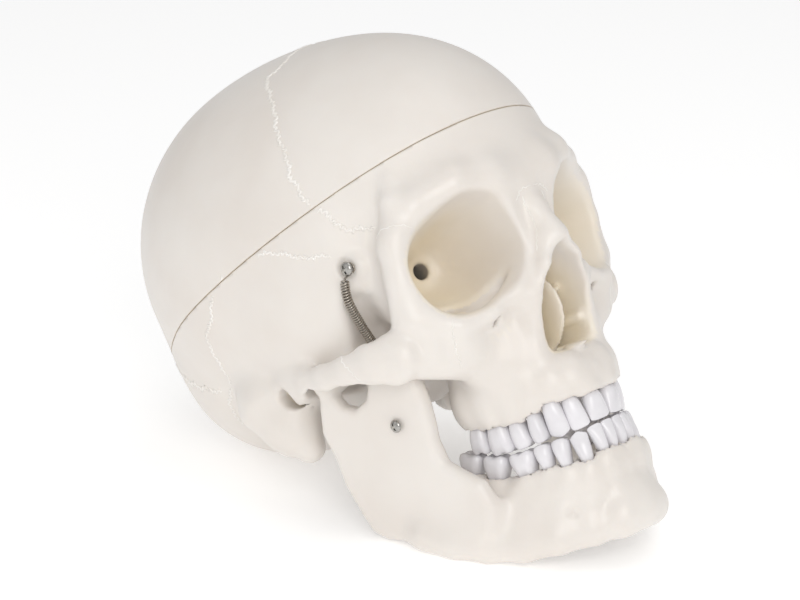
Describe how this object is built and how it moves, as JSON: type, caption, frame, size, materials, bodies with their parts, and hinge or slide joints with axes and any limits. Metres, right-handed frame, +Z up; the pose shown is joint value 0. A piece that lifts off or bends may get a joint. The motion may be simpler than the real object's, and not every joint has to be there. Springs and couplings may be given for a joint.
{
  "type": "human skull model",
  "caption": "Life-size plastic teaching skull with a lift-off cap, a jaw hinged on two coil springs and separate teeth.",
  "frame": {"origin": "centre of the footprint's bounding box, on the surface the skull stands on", "axes": "-Y is the way the face looks (tipped up 34 degrees), +X is the skull's left, +Z is up"},
  "size_m": [0.139, 0.2336, 0.1709],
  "materials": {
    "cap_bone": "semi-gloss cast plastic, off-white",
    "bone": "semi-gloss cast plastic, off-white, warmer in the hollows",
    "tooth": "glossy white plastic",
    "spring_steel": "dark spring steel wire",
    "nickel": "bright nickel plate"
  },
  "bodies": {
    "cranium": {"skull_base": "bone", "upper_central_incisor_right": "tooth", "upper_lateral_incisor_right": "tooth", "upper_canine_right": "tooth", "upper_first_premolar_right": "tooth", "upper_second_premolar_right": "tooth", "upper_first_molar_right": "tooth", "upper_second_molar_right": "tooth", "upper_central_incisor_left": "tooth", "upper_lateral_incisor_left": "tooth", "upper_canine_left": "tooth", "upper_first_premolar_left": "tooth", "upper_second_premolar_left": "tooth", "upper_first_molar_left": "tooth", "upper_second_molar_left": "tooth", "temple_screw_right": "nickel", "temple_screw_left": "nickel", "spring_right": "spring_steel", "spring_left": "spring_steel", "locating_pin_front": "nickel", "locating_pin_rear_right": "nickel", "locating_pin_rear_left": "nickel"},
    "cap": {"calvaria": "cap_bone"},
    "jaw": {"mandible": "bone", "lower_central_incisor_right": "tooth", "lower_lateral_incisor_right": "tooth", "lower_canine_right": "tooth", "lower_first_premolar_right": "tooth", "lower_second_premolar_right": "tooth", "lower_first_molar_right": "tooth", "lower_second_molar_right": "tooth", "lower_third_molar_right": "tooth", "lower_central_incisor_left": "tooth", "lower_lateral_incisor_left": "tooth", "lower_canine_left": "tooth", "lower_first_premolar_left": "tooth", "lower_second_premolar_left": "tooth", "lower_first_molar_left": "tooth", "lower_second_molar_left": "tooth", "lower_third_molar_left": "tooth", "jaw_screw_right": "nickel", "jaw_screw_left": "nickel", "jaw_nut_right": "nickel", "jaw_nut_left": "nickel"}
  },
  "joints": [
    {"name": "jaw_hinge", "type": "hinge", "parent": "cranium", "child": "jaw", "pos_m": [-0.00009, -0.00882, 0.05595], "axis": [1, 0, 0], "range_deg": [0, 18], "stiffness_Nm_per_rad": 0.5, "springref_deg": -11.46, "deforming": ["spring_right", "spring_left"]},
    {"name": "cap_lift", "type": "slide", "parent": "cranium", "child": "cap", "axis": [0, 0.6716, 0.7409], "range_m": [0, 0.07]}
  ]
}
